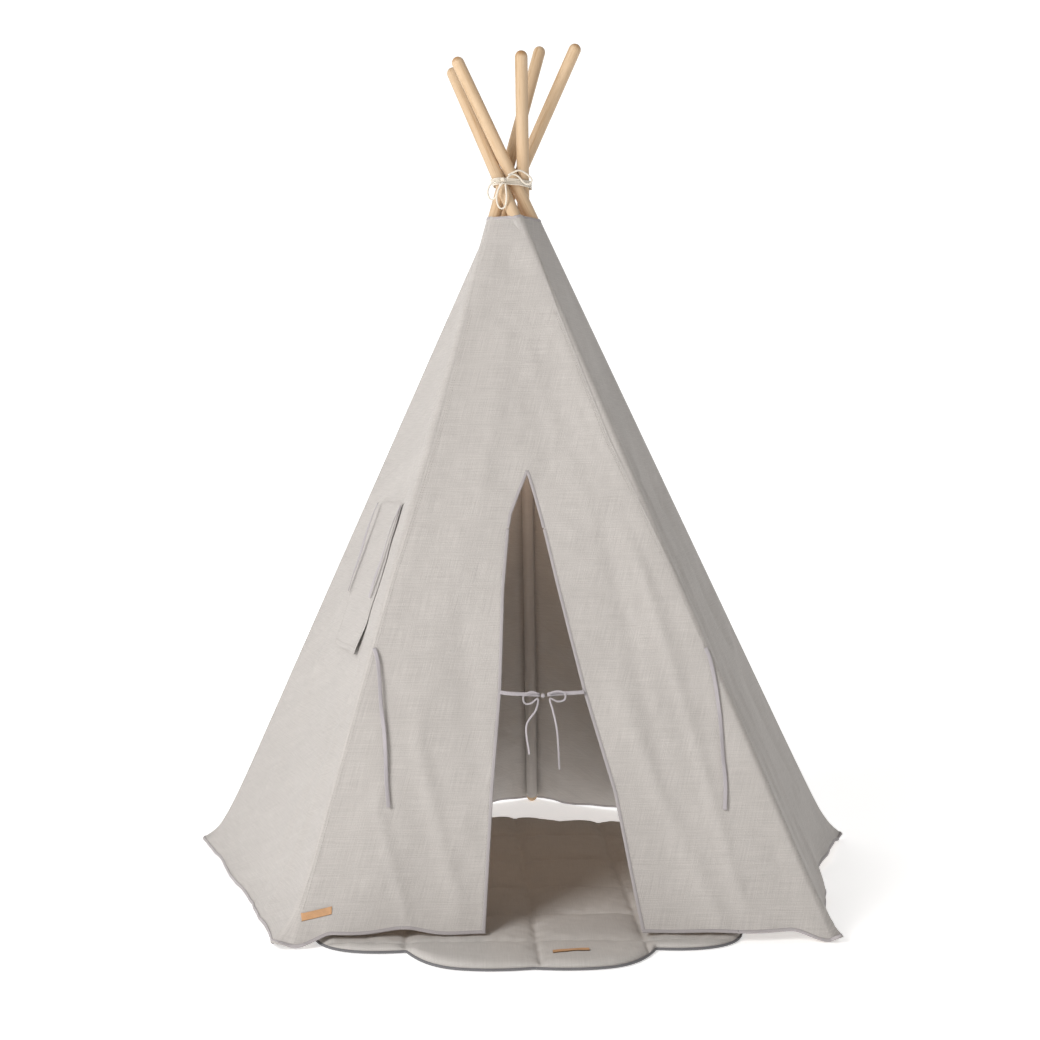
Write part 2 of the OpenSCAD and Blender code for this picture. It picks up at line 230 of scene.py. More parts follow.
# Creases on a panel: from (across, z) to (across, z), half-width, height; across is 0 to 1
CREASES = {
    FRONT: [
        (0.17, 0.33, 0.30, 0.07, 0.016, 0.0042), (0.10, 0.22, 0.21, 0.03, 0.012, 0.0030),
        (0.26, 0.52, 0.34, 0.20, 0.020, -0.0030), (0.90, 0.62, 0.86, 0.10, 0.014, 0.0040),
        (0.80, 0.70, 0.77, 0.28, 0.016, -0.0030), (0.72, 0.40, 0.80, 0.05, 0.018, 0.0036),
        (0.45, 1.10, 0.30, 0.80, 0.018, 0.0018), (0.62, 1.00, 0.78, 0.72, 0.018, 0.0020),
        (0.50, 0.88, 0.30, 0.78, 0.014, 0.0014),
    ],
    SIDE_RIGHT: [
        (0.10, 0.95, 0.10, 0.30, 0.012, 0.0040), (0.22, 0.80, 0.20, 0.12, 0.016, -0.0040),
        (0.38, 0.60, 0.34, 0.05, 0.020, 0.0044), (0.70, 0.75, 0.74, 0.20, 0.022, -0.0030),
    ],
    SIDE_LEFT: [
        (0.92, 0.42, 0.80, 0.06, 0.018, 0.0046), (0.80, 0.30, 0.66, 0.04, 0.016, -0.0032),
        (0.30, 0.55, 0.26, 0.10, 0.022, 0.0026), (0.86, 0.95, 0.82, 0.78, 0.012, -0.0018),
    ],
    REAR_RIGHT: [
        (0.30, 0.80, 0.26, 0.10, 0.020, 0.0050), (0.62, 0.70, 0.70, 0.08, 0.020, -0.0050),
    ],
    REAR_LEFT: [
        (0.34, 0.75, 0.24, 0.10, 0.020, -0.0050), (0.70, 0.80, 0.76, 0.08, 0.018, 0.0050),
    ],
}


def crease(q, z, width, spec):
    f0, z0, f1, z1, half, height = spec
    here = np.clip((z - z0) / (z1 - z0), 0, 1)
    line = between(f0, f1, here) * width
    fade = np.exp(-(np.maximum(0, np.maximum(z - max(z0, z1), min(z0, z1) - z)) / 0.05) ** 2)
    return height * fade * np.exp(-(((q - line) / half) ** 2))


def flare(z):
    return np.exp(-np.maximum(z, 0) / FLARE_FADE)


def hem_flare(p, q, z):
    share = np.clip(q / flat_width(p, z), 0, 1)
    ends = between(POLE_FLARE[p], POLE_FLARE[(p + 1) % 5], share)
    bulge = np.sin(math.pi * share) ** 2
    return flare(z) * (ends * (1 - bulge) + PANEL_FLARE[p] * bulge)


def fold(p, q, z):
    """How far panel p's cloth stands out from flat, at q across and height z."""
    width = flat_width(p, z)
    edge = np.minimum(q, width - q)
    calm = ease(edge / 0.035) * ease((COLLAR_Z - z) / 0.10)
    share = np.clip(q / width, 0, 1)
    depth = -0.007 * np.sin(math.pi * share) * ease((COLLAR_Z - z) / 0.5)
    depth += DRAPE_SIZE[p] * ripple(q, z, DRAPE[p]) * ease(edge / 0.12)
    warp = 0.012 * ripple(z, q, SOFT[p])
    depth += SOFT_SIZE[p] * ripple(q + warp, z, SOFT[p])
    depth += CRINKLE_SIZE[p] * ripple(q + warp, z - warp, CRINKLE[p])
    low = np.exp(-np.maximum(z - HEM_Z, 0) / 0.16)
    depth += low * HEM_WAVE[p] * np.sin(q * 19 + 2.1 * p) * ease(edge / 0.08)
    for spec in CREASES[p]:
        depth += (FRONT_CREASE if p == FRONT else 1) * crease(q, z, width, spec)
    return depth * calm + hem_flare(p, q, z)


def skin(z, g):
    """The cover's outer face at height z and distance g round it: points and their normals."""
    z, g = (np.array(v, float) for v in np.broadcast_arrays(z, g))
    g = np.mod(g, round_trip(z))
    points, normals = np.zeros(z.shape + (3,)), np.zeros(z.shape + (3,))
    for i in range(5):
        start = flat_start(i, z)
        angle = (g - start) / SKIN_R + BEND[i]
        hit = (angle >= 0) & (angle < BEND[i])
        n = np.cos(angle)[..., None] * ARRIVE[i] + np.sin(angle)[..., None] * TURN[i]
        peak = 1 + 1.15 * np.exp(-z / 0.028) * np.sin(math.pi * np.clip(angle / BEND[i], 0, 1)) ** 3
        reach = SKIN_R * peak + POLE_FLARE[i] * flare(z)
        points[hit] = (axis_at(i, z - SKIN_DROP) + reach[..., None] * n)[hit]
        normals[hit] = n[hit]
        hit = g >= start
        q, height = (g - start)[hit], z[hit]
        if not len(q):
            continue
        a, b = flat_ends(i, height)
        width = np.linalg.norm(b - a, axis=-1)
        q = np.minimum(q, width)
        share = (q / width)[:, None]
        n = unit(between(LEAVE[i], ARRIVE[(i + 1) % 5], share))
        step = 0.001
        depth = fold(i, q, height)
        across = (fold(i, q + step, height) - fold(i, q - step, height)) / (2 * step)
        rise = FRAMES[i][2][2]
        upwards = (fold(i, q, height + step) - fold(i, q, height - step)) / (2 * step) * rise
        points[hit] = between(a, b, share) + n * depth[:, None]
        normals[hit] = unit(n - across[:, None] * FRAMES[i][1] - upwards[:, None] * FRAMES[i][2])
    return points, normals


def seam(i, z):
    """Distance round the cover to the seam beside pole i."""
    stray = np.interp(z, SEAM_Z, SEAM_X[i]) if i in SEAM_X else 0
    home = flat_start(i, z) - (SKIN_R * BEND[i] if i == FRONT_RIGHT else 0)
    return home + stray


def front_g(x, z):
    a, b = flat_ends(FRONT, z)
    return flat_start(FRONT, z) + (x - a[..., 0]) / (b - a)[..., 0] * flat_width(FRONT, z)


def side_g(s, z):
    """Distance round the cover to s on the left panel's own frame."""
    origin, along, _, _ = FRAMES[SIDE_LEFT]
    a, _ = flat_ends(SIDE_LEFT, z)
    return flat_start(SIDE_LEFT, z) + s - (a - origin) @ along


def side_z(t):
    origin, _, slope, out = FRAMES[SIDE_LEFT]
    return origin[2] + t * slope[2] + CAD_CLOTH_T * out[2]


def slit_x(z, side):
    return np.interp(z, SLIT_Z, SLIT_X[side])


def fold_x(z, side):
    return between(FOLD_X[side], slit_x(FLAP_TOP_Z, side), (z - 0.02) / (FLAP_TOP_Z - 0.02))


def front_line(x_at, side):
    return lambda z: front_g(x_at(z, side), z)


def middle_g(z):
    """The front's own middle line, above the slit."""
    share = (z - SLIT_TOP_Z) / (COLLAR_Z - SLIT_TOP_Z)
    return between(front_g(slit_x(SLIT_TOP_Z, -1), z), (seam(0, z) + seam(1, z)) / 2, ease(share))


def front_edge(z, side):
    """Where the front panel's cloth ends: at a flap's fold line, the slit or the middle line."""
    low, slit = front_line(fold_x, side)(z), front_line(slit_x, side)(z)
    return np.where(z <= FLAP_TOP_Z, low, np.where(z < SLIT_TOP_Z, slit, middle_g(z)))


# ---- mesh helpers
def add_mesh(name, verts, faces):
    mesh = bpy.data.meshes.new(name)
    mesh.from_pydata([tuple(v) for v in verts], [], [tuple(int(k) for k in f) for f in faces])
    mesh.update()
    mesh.polygons.foreach_set("use_smooth", [True] * len(mesh.polygons))
    obj = bpy.data.objects.new(name, mesh)
    bpy.context.scene.collection.objects.link(obj)
    return obj


def grid_faces(rows, cols, start=0, flip=False):
    r, c = np.meshgrid(np.arange(rows - 1), np.arange(cols - 1), indexing="ij")
    a = (start + r * cols + c).ravel()
    quads = np.stack([a, a + 1, a + cols + 1, a + cols], axis=1)
    return quads[:, ::-1] if flip else quads


def tube_faces(rings, sides, closed=False):
    i, j = np.meshgrid(np.arange(rings if closed else rings - 1), np.arange(sides), indexing="ij")
    up, after = (i + 1) % rings * sides, (j + 1) % sides
    return np.stack([i * sides + j, up + j, up + after, i * sides + after], axis=-1).reshape(-1, 4)


def rim_faces(rows, cols):
    """Quads that close a sheet's outer face and its inner face, all the way round."""
    index = np.arange(rows * cols).reshape(rows, cols)
    loop = np.concatenate([index[0], index[1:, -1], index[-1, -2::-1], index[-2:0:-1, 0]])
    after = np.roll(loop, -1)
    back = rows * cols
    return np.stack([after, loop, loop + back, after + back], axis=1)


def shell_faces(rows, cols):
    """A sheet's outer face, its inner face and its rim."""
    return np.concatenate([
        grid_faces(rows, cols), grid_faces(rows, cols, rows * cols, True), rim_faces(rows, cols)])


def mark(obj, values):
    """Places on the cloth, in metres, for its weave."""
    layer = obj.data.attributes.new("cloth", "FLOAT_VECTOR", "POINT")
    layer.data.foreach_set("vector", np.asarray(values, np.float32).ravel())


def cloth(name, z, g, lift=0.0, thick=CLOTH_T):
    """A sheet of the cover over a grid of heights and distances, lifted off the skin."""
    points, normals = skin(z, g)
    points = points + normals * np.asarray(lift)[..., None]
    return sheet_mesh(name, points, normals, z, g, thick)


def sheet_mesh(name, points, normals, z, g, thick):
    rows, cols = points.shape[:2]
    outer, n = points.reshape(-1, 3), normals.reshape(-1, 3)
    verts = np.concatenate([outer, outer - n * thick])
    obj = add_mesh(name, verts, shell_faces(rows, cols))
    obj.data.normals_split_custom_set_from_vertices(np.concatenate([n, -n]).tolist())
    place = np.stack([g.ravel(), z.ravel(), np.zeros(z.size)], axis=1)
    mark(obj, np.concatenate([place, place]))
    return obj


def smooth_path(points):
    """A curve through the points, sampled evenly."""
    points = np.asarray(points, float)
    ends = [2 * points[0] - points[1], *points, 2 * points[-1] - points[-2]]
    out = []
    for a, b, c, d in zip(ends, ends[1:], ends[2:], ends[3:]):
        for t in np.linspace(0, 1, 16, endpoint=False):
            out.append(0.5 * (2 * b + (c - a) * t + (2 * a - 5 * b + 4 * c - d) * t**2
                              + (3 * b - a - 3 * c + d) * t**3))
    out.append(points[-1])
    return resample(np.array(out), 0.0025)


def distances(path):
    """How far along a path each of its points is."""
    return np.concatenate([[0], np.cumsum(np.linalg.norm(np.diff(path, axis=0), axis=1))])


def sampled(at, length, values):
    return np.stack([np.interp(at, length, values[:, k]) for k in range(3)], axis=1)


def resample(points, step):
    length = distances(points)
    return sampled(np.linspace(0, length[-1], max(4, int(round(length[-1] / step)) + 1)), length, points)


def sweep(name, path, face, width, thick, sides=10, flat=1.0, curl=0.0, strands=0, closed=False):
    """A tape or rope along a path. face is the way its broad side looks."""
    path = np.asarray(path, float)
    ahead = unit(np.roll(path, -1, axis=0) - np.roll(path, 1, axis=0) if closed
                 else np.gradient(path, axis=0))
    face = np.broadcast_to(np.asarray(face, float), path.shape)
    across = unit(np.cross(ahead, face))
    out = np.cross(across, ahead)
    run = distances(path)
    turn = curl * np.sin(run * 31 + path[0][0] * 90) * np.minimum(1, run / 0.03)
    across, out = (across * np.cos(turn)[:, None] + out * np.sin(turn)[:, None],
                   out * np.cos(turn)[:, None] - across * np.sin(turn)[:, None])
    k = np.arange(sides) * 2 * math.pi / sides
    c, s = np.cos(k), np.sin(k)
    c, s = np.sign(c) * np.abs(c) ** flat, np.sign(s) * np.abs(s) ** flat
    size = np.ones((len(path), sides))
    if strands:
        twist = (run / (width * 2.2) * math.pi)[:, None]
        size = 0.88 + 0.12 * np.abs(np.cos(strands * 0.5 * k[None] + twist))
    verts = (path[:, None] + across[:, None] * (c * width / 2 * size)[..., None]
             + out[:, None] * (s * thick / 2 * size)[..., None])
    rings = len(path)
    faces = tube_faces(rings, sides, closed).tolist()
    if not closed:
        faces += [range(sides), [(rings - 1) * sides + j for j in reversed(range(sides))]]
    return add_mesh(name, verts.reshape(-1, 3), faces)


def stitches(name, path, normal, pitch=0.0052, length=0.0034, width=0.0009):
    """A row of short raised threads along a path."""
    path = np.asarray(path, float)
    run = distances(path)
    starts = np.arange(pitch, run[-1] - length, pitch)
    normal = np.broadcast_to(normal, path.shape)
    a, b = sampled(starts, run, path), sampled(starts + length, run, path)
    n = unit(sampled(starts + length / 2, run, normal))
    side = unit(np.cross(b - a, n)) * width / 2
    middle = (a + b) / 2
    verts = np.stack([a, middle + side, b, middle - side,
                      middle + n * width * 0.55, middle - n * width * 0.5], axis=1).reshape(-1, 3)
    one = [f for j in range(4) for f in (((j + 1) % 4, j, 4), (j, (j + 1) % 4, 5))]
    faces = (np.arange(len(starts))[:, None, None] * 6 + np.array(one)).reshape(-1, 3)
    return add_mesh(name, verts, faces)


def finish_piece(obj, body, material, replaces=None):
    if body is not None:
        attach(obj, body)
    obj.data.materials.append(material)
    if replaces:
        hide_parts(replaces)
    return obj


def edge_tape(name, points, normals, body, replaces, thick=HEM_TAPE_T, closed=False):
    """The tape that binds an edge of the cloth, centred in its thickness."""
    obj = sweep(name, points - normals * CLOTH_T / 2, normals, HEM_TAPE, thick, TAPE_SIDES, TAPE_FLAT,
                closed=closed)
    return finish_piece(obj, body, BINDING, replaces)


def thread_row(name, points, normals, body):
    return finish_piece(stitches(name, points, normals), body, THREAD)


def bend_with(obj, weight):
    """Bakes a piece's transform into its mesh; it does not bend the piece between the cover and a pole.

    weight (0 on the cover, 1 at the pole, following the share of a panel's width as it narrows upwards) is not
    used."""
    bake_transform(obj)


# ---- materials
def connect(node, inputs):
    """Links each of a node's inputs, or sets its value."""
    for key, value in inputs.items():
        if isinstance(value, bpy.types.NodeSocket):
            node.id_data.links.new(value, node.inputs[key])
        else:
            node.inputs[key].default_value = value


def nodes_of(name, roughness, sheen=0.0):
    mat = bpy.data.materials.new(name)
    mat.use_nodes = True
    shader = mat.node_tree.nodes["Principled BSDF"]
    connect(shader, {"Roughness": roughness, "Specular IOR Level": 0.25, "Sheen Weight": sheen})
    return mat, mat.node_tree, shader


def add_node(tree, kind, inputs, **settings):
    node = tree.nodes.new("ShaderNode" + kind)
    for key, value in settings.items():
        setattr(node, key, value)
    connect(node, inputs)
    return node.outputs


def place(tree, scale, source=None, turn=(0, 0, 0)):
    """Mapped coordinates: a cloth piece's own, in metres, or an object's."""
    if source is None:
        socket = add_node(tree, "Attribute", {}, attribute_name="cloth")["Vector"]
    else:
        socket = add_node(tree, "TexCoord", {})[source]
    turned = add_node(tree, "Mapping", {"Vector": socket, "Rotation": turn})["Vector"]
    return add_node(tree, "Mapping", {"Vector": turned, "Scale": scale})["Vector"]


def noise(tree, scale, detail=2.0, rough=0.5, source=None, turn=(0, 0, 0)):
    inputs = {"Vector": place(tree, scale, source, turn), "Scale": 1.0, "Detail": detail,
              "Roughness": rough}
    return add_node(tree, "TexNoise", inputs)["Fac"]


def thread_wave(tree, scale, direction):
    inputs = {"Vector": place(tree, scale), "Scale": 1.0, "Distortion": 0.6}
    return add_node(tree, "TexWave", inputs, bands_direction=direction)["Fac"]


def combine(tree, *parts):
    """The sum of value times weight over the parts."""
    total = 0.0
    for value, weight in parts:
        total = add_node(tree, "Math", {0: value, 1: weight, 2: total}, operation="MULTIPLY_ADD")[0]
    return total


def ramp(tree, value, stops):
    node = tree.nodes.new("ShaderNodeValToRGB")
    marks = node.color_ramp.elements
    while len(marks) < len(stops):
        marks.new(0.5)
    for stop, (position, colour) in zip(marks, stops):
        stop.position, stop.color = position, (*colour, 1)
    tree.links.new(value, node.inputs["Fac"])
    return node.outputs["Color"]


def bump(tree, shader, height, distance, strength=1.0):
    inputs = {"Height": height, "Distance": distance, "Strength": strength}
    connect(shader, {"Normal": add_node(tree, "Bump", inputs)["Normal"]})


def paint(tree, shader, tone, stops):
    connect(shader, {"Base Color": ramp(tree, tone, stops)})


def shade(colour, share):
    """A colour times one share, or times a share for each channel."""
    return tuple(float(c) for c in np.multiply(colour, share))


def linen(name, colour, contrast=1.0, relief=0.0006):
    """Plain-weave linen: thick slubs both ways, clouding and a fine thread relief."""
    mat, tree, shader = nodes_of(name, 0.92, 0.12)
    upright = noise(tree, (620, 17, 1), 3, 0.6)
    level = noise(tree, (15, 640, 1), 3, 0.6)
    cloud = noise(tree, (5, 4, 1), 4, 0.55)
    speck = noise(tree, (420, 420, 1), 2, 0.7)
    tone = combine(tree, (upright, 0.36), (level, 0.34), (cloud, 0.14), (speck, 0.16))
    half = 0.115 * contrast
    stops = [(0.30, shade(colour, 1 - half)), (0.5, colour), (0.70, shade(colour, 1 + half))]
    paint(tree, shader, tone, stops)
    warp = thread_wave(tree, (230, 230, 1), "X")
    weft = thread_wave(tree, (230, 230, 1), "Y")
    threads = combine(tree, (upright, 0.5), (level, 0.5), (speck, 0.4), (warp, 0.12), (weft, 0.12))
    bump(tree, shader, threads, relief)
    return mat


def woven(name, colour, scale=900, relief=0.0003, contrast=0.10):
    """Close-woven tape, rope fibre or piping."""
    mat, tree, shader = nodes_of(name, 0.85, 0.1)
    fine = noise(tree, (scale, scale * 0.35, 1), 3, 0.65, "Object")
    cloud = noise(tree, (24, 24, 24), 3, 0.5, "Object")
    tone = combine(tree, (fine, 0.65), (cloud, 0.35))
    paint(tree, shader, tone, [(0.3, shade(colour, 1 - contrast)), (0.7, shade(colour, 1 + contrast))])
    bump(tree, shader, fine, relief)
    return mat


def pine(name, direction, colour, seed):
    """Pine dowel: long grain along the pole, and darker end grain on its domes."""
    mat, tree, shader = nodes_of(name, 0.52)
    turned = Vector(direction).rotation_difference(Vector((0, 0, 1))).to_euler()
    streak = noise(tree, (210, 210, 5.5 + seed), 4, 0.62, "Object", turned)
    band = noise(tree, (62, 62, 1.7 + 0.2 * seed), 3, 0.5, "Object", turned)
    pore = noise(tree, (1500, 1500, 45), 2, 0.5, "Object", turned)
    tone = combine(tree, (streak, 0.46), (band, 0.38), (pore, 0.16))
    dark, light = shade(colour, (0.72, 0.60, 0.46)), shade(colour, (1.10, 1.12, 1.18))
    grain = ramp(tree, tone, [(0.34, dark), (0.47, colour), (0.62, light)])
    end_grain = (*shade(colour, (0.72, 0.56, 0.40)), 1)
    normal = add_node(tree, "TexCoord", {})["Normal"]
    facing = add_node(tree, "VectorMath", {0: normal, 1: tuple(direction)}, operation="DOT_PRODUCT")
    tip = ramp(tree, facing["Value"], [(0.35, (0, 0, 0)), (0.9, (1, 1, 1))])
    mixed = add_node(tree, "Mix", {"Factor": tip, "A": grain, "B": end_grain}, data_type="RGBA")["Result"]
    connect(shader, {"Base Color": mixed})
    bump(tree, shader, tone, 0.0004, 0.6)
    return mat


def leather(name, colour):
    mat, tree, shader = nodes_of(name, 0.55)
    grain = noise(tree, (700, 700, 700), 4, 0.7, "Object")
    cloud = noise(tree, (60, 60, 60), 2, 0.5, "Object")
    tone = combine(tree, (grain, 0.5), (cloud, 0.5))
    paint(tree, shader, tone, [(0.3, shade(colour, 0.80)), (0.7, shade(colour, 1.15))])
    bump(tree, shader, grain, 0.0003)
    return mat


LINEN_TONE = (0.55, 0.525, 0.50)
LINEN = linen("linen", LINEN_TONE, 1.9, 0.0009)
# The pockets' linen is the cover's linen made 0.9 times as dark: painted shade for the pockets inside the tent
LINEN_PAINTED_SHADE = linen("linen_pocket_painted_shade", shade(LINEN_TONE, 0.9))
QUILTED = linen("quilted_linen", (0.55, 0.53, 0.505), 1.2, 0.0004)
BINDING = woven("binding_tape", (0.43, 0.405, 0.41))
RIBBON = woven("ribbon_tape", (0.46, 0.435, 0.455))
PIPING = woven("piping", (0.17, 0.17, 0.178))
COTTON = woven("cotton_rope", (0.78, 0.72, 0.62), 700, 0.0004, 0.12)
THREAD = woven("thread", (0.50, 0.475, 0.45))
LEATHER = leather("leather", (0.62, 0.36, 0.19))
FLOOR_GLOW, WORLD_STRENGTH = 0.48, 0.20
KEY_WATTS, INSIDE_WATTS = 195, 1.7
PINE_TONE = (0.62, 0.455, 0.29)


# ---- cords
MM = 0.001
# Each cord's route: x, z and how far it stands off the front; or s, t and so off the window's flap;
# or x, y, z for the rope. Each has the name of the CAD node that it replaces.
ROUTES = {
    "tieback_left": [
        [-284, 484, 1.4], [-278, 464, 4], [-274, 430, 5], [-271, 388, 5], [-265, 344, 5], [-262, 300, 5],
        [-260, 260, 5], [-256, 219, 5]],
    "tieback_right": [
        [304, 484, 7.5], [311, 464, 8], [317, 430, 8], [322, 388, 7], [325, 344, 6], [326, 300, 5],
        [328, 256, 5], [325, 213, 5]],
    "door_tie_left": [[-62, 408, 0.7], [-42, 406, 4], [-16, 405, 4], [8, 404, 4]],
    "door_tie_right": [[87, 408, 0.7], [66, 407, 4], [44, 406, 4], [21, 404, 4]],
    "door_bow_left": [
        [4, 407, 10], [-8, 410, 12], [-21, 403, 13], [-19, 391, 13], [-8, 391, 14], [4, 399, 15],
        [0, 380, 17], [-17, 352, 13], [-12, 305, 8]],
    "door_bow_right": [
        [23, 407, 10], [38, 411, 12], [51, 408, 13], [51, 397, 13], [38, 394, 14], [25, 399, 15],
        [30, 378, 17], [37, 342, 12], [40, 280, 8]],
    "window_ribbon_left": [
        [-52, 774, 1], [-46, 744, 4], [-40, 706, 5], [-34, 668, 4], [-29, 630, 5], [-25, 592, 4]],
    "window_ribbon_right": [
        [124, 774, 1], [127, 742, 4], [132, 704, 5], [137, 666, 4], [142, 628, 5], [146, 592, 4]],
    "crown_loop_left": [
        [-54, -81, 1356], [-64, -82, 1352], [-73, -81, 1342], [-77, -79, 1330], [-72, -78, 1317],
        [-63, -80, 1319], [-57, -82, 1334], [-52, -81, 1347]],
    "crown_loop_right": [
        [-40, -81, 1357], [-30, -82, 1364], [-18, -81, 1360], [-8, -80, 1349], [2, -79, 1345],
        [8, -79, 1354], [-2, -81, 1365], [-18, -85, 1371], [-38, -85, 1362]],
    "crown_tail": [
        [-47, -86, 1348], [-56, -87, 1336], [-60, -87, 1319], [-57, -86, 1304], [-50, -85, 1298],
        [-43, -86, 1304], [-41, -88, 1321], [-43, -86, 1345]],
}
DOOR_KNOT = [13.5, 403, 7]
CROWN_KNOT = [-47, -81.5, 1354]

# The flat front, as the CAD has it: cords that cross the slit hang from it
FRONT_ORIGIN, _, _, FRONT_OUT = FRAMES[FRONT]


def cad_front(route):
    x, z, d = (np.array(route) * MM).T
    reach = FRONT_OUT @ FRONT_ORIGIN + CAD_CLOTH_T + d
    y = (reach - FRONT_OUT[0] * x - FRONT_OUT[2] * z) / FRONT_OUT[1]
    return np.stack([x, y, z], axis=1)


def cad_window(route):
    """Places on the closed flap, which lies 1 mm off the panel and is 1.5 mm thick."""
    origin, along, slope, out = FRAMES[SIDE_LEFT]
    face = CAD_CLOTH_T + 0.001 + 0.0015
    return np.array([origin + s * along + t * slope + (face + d) * out for s, t, d in np.array(route) * MM])


def free_cord(name, points, face, body, width, thick, far_end, lay, material, slot, curl=0.3,
              flat=0.55, strands=0, with_pieces=(), sides=10):
    path = smooth_path(points)
    obj = sweep(name + "_cord", path, face, width, thick, sides, flat, curl, strands)
    finish_piece(obj, body, material, name)
    return obj, path


def tape_cord(name, body, width=TAPE_W, far_end="bare", lay="hanging", **more):
    lies_on, panel = (cad_window, SIDE_LEFT) if body == "window_cover" else (cad_front, FRONT)
    return free_cord(name, lies_on(ROUTES[name]), tuple(FRAMES[panel][3]), body, width, TAPE_T, far_end,
                     lay, RIBBON, "binding_tape", **more)


def rope_cord(name, **more):
    return free_cord(name, np.array(ROUTES[name]) * MM, (0, -1, 0), "cover", ROPE_D, ROPE_D, "knot",
                     "hanging", COTTON, "cotton_rope", curl=0, flat=1.0, strands=3, sides=14, **more)


def knot(name, centre, size, width, thick, axes, body, material, replaces, strands=0):
    """A tight knot: a few turns of the cord round each other."""
    k = np.linspace(0, 2 * math.pi, 40, endpoint=False)
    parts = []
    for n, (axis, radius) in enumerate(axes):
        axis = unit(axis)
        side = unit(np.cross(axis, [0.3, 0.2, 0.9]))
        other = np.cross(axis, side)
        loop = centre + radius * size * (np.cos(k)[:, None] * side + 0.72 * np.sin(k)[:, None] * other)
        outward = unit(loop - centre)
        parts.append(sweep(f"{name}_{n}", loop, outward, width, thick, 10, 0.8, 0, strands, True))
    whole = join(parts, name)
    return finish_piece(whole, body, material, replaces)


def join(parts, name):
    """One piece from several meshes."""
    verts, faces = [], []
    for part in parts:
        base = len(verts)
        verts += [tuple(v.co) for v in part.data.vertices]
        faces += [[base + k for k in f.vertices] for f in part.data.polygons]
        bpy.data.objects.remove(part)
    return add_mesh(name, verts, faces)


def build_cords():
    crown_knot = knot("crown_knot_rope", np.array(CROWN_KNOT) * MM, 0.0036, ROPE_D, ROPE_D,
                      [((0, 1, 0.3), 1.0), ((1, 0.2, 0.1), 0.85), ((0.3, 0.5, 1), 0.9)],
                      "cover", COTTON, "crown_knot", 3)
    rope_cord("crown_loop_left", with_pieces=[crown_knot])
    rope_cord("crown_loop_right")
    rope_cord("crown_tail")
    door_knot = knot("door_knot_tape", cad_front([DOOR_KNOT])[0], 0.0042, 0.0050, 0.0014,
                     [((1, 0, 0.2), 0.9), ((0.4, 0.2, 1), 0.8), ((1, 0.3, -0.6), 1.0)],
                     "door_left", RIBBON, "door_knot")
    tied = dict(far_end="knot", lay="taut", curl=0.12)
    tape_cord("door_tie_left", "door_left", with_pieces=[door_knot], **tied)
    tape_cord("door_tie_right", "door_right", **tied)
    for side in ("left", "right"):
        tape_cord("door_bow_" + side, "door_" + side, TAPE_W / 2)
    for side in ("left", "right"):
        tape_cord("window_ribbon_" + side, "window_cover")
    for side in ("left", "right"):
        obj, path = tape_cord("tieback_" + side, None)
        half = HALVES["front_by_front_" + side]
        weight = half.pull(path[:, 2], front_g(path[:, 0], path[:, 2]))
        bend_with(obj, np.repeat(weight, len(obj.data.vertices) // len(path)))


# ---- the cover
class Half:
    """The part of a panel between a pole's seam and the panel's still middle."""

    def __init__(self, panel, pole, start, end, pole_first, over):
        self.panel, self.pole, self.start, self.end = panel, pole, start, end
        self.pole_first, self.over = pole_first, over

    def pull(self, z, g):
        """How much the cloth there follows the pole."""
        share = (g - self.start(z)) / np.maximum(self.end(z) - self.start(z), 1e-6)
        share = 1 - share if self.pole_first else share
        return ease(share) * ease((COLLAR_Z - z) / 0.22)


LAP = 0.004       # how far one panel laps over the next at a seam
LAP_LIFT = 0.0013


def seam_line(i, lap=0.0):
    return lambda z: seam(i, z) + lap


def middle(i):
    return lambda z: (seam(i, z) + seam(i + 1, z)) / 2


STOPS = {FRONT: (HEM_Z, FLAP_TOP_Z, SLIT_TOP_Z, COLLAR_Z),
         SIDE_LEFT: (HEM_Z, side_z(WINDOW_HOLE["bottom"]), side_z(WINDOW_HOLE["top"]), COLLAR_Z)}


def window_line(side, hem, collar):
    """A line up the left panel, along one side of the window, from its s at the hem and the collar."""
    along = [hem, *WINDOW_HOLE[side][::-1], collar]
    return lambda z: side_g(np.interp(z, STOPS[SIDE_LEFT], along), z)


WINDOW_NEAR = window_line("left", 0.020, 0.004)
WINDOW_FAR = window_line("right", 0.140, 0.012)
HALVES = {
    "front_by_front_left": Half(
        FRONT, FRONT_LEFT, seam_line(0, -LAP), lambda z: front_edge(z, -1), True, True),
    "front_by_front_right": Half(
        FRONT, FRONT_RIGHT, lambda z: front_edge(z, 1), seam_line(1, LAP), False, True),
}
for p in (SIDE_RIGHT, REAR_RIGHT, REAR_LEFT):
    over = p != SIDE_RIGHT
    HALVES[f"{PANELS[p]}_by_{POLES[p]}"] = Half(p, p, seam_line(p, -LAP * over), middle(p), True, over)
    HALVES[f"{PANELS[p]}_by_{POLES[p + 1]}"] = Half(p, p + 1, middle(p), seam_line(p + 1), False, False)
HALVES["side_left_by_left"] = Half(SIDE_LEFT, LEFT, seam_line(4, -LAP), WINDOW_NEAR, True, True)
HALVES["side_left_by_front_left"] = Half(
    SIDE_LEFT, FRONT_LEFT, WINDOW_FAR, lambda z: seam(0, z) + round_trip(z), False, False)
PANEL_NODES = ["front_panel", "side_panel_right", "rear_panel_right", "rear_panel_left", "side_panel_left"]


def heights(*stops):
    rows = []
    for a, b in zip(stops, stops[1:]):
        rows.extend(np.linspace(a, b, max(3, int(round((b - a) * ROWS_PER_M))), endpoint=False))
    return np.array(rows + [stops[-1]])


HEM_REST = [0.0185, 0.0120, 0.0062, 0.0050, 0.0040]      # the hem's height, panel by panel
CORNER_REST = 0.0026


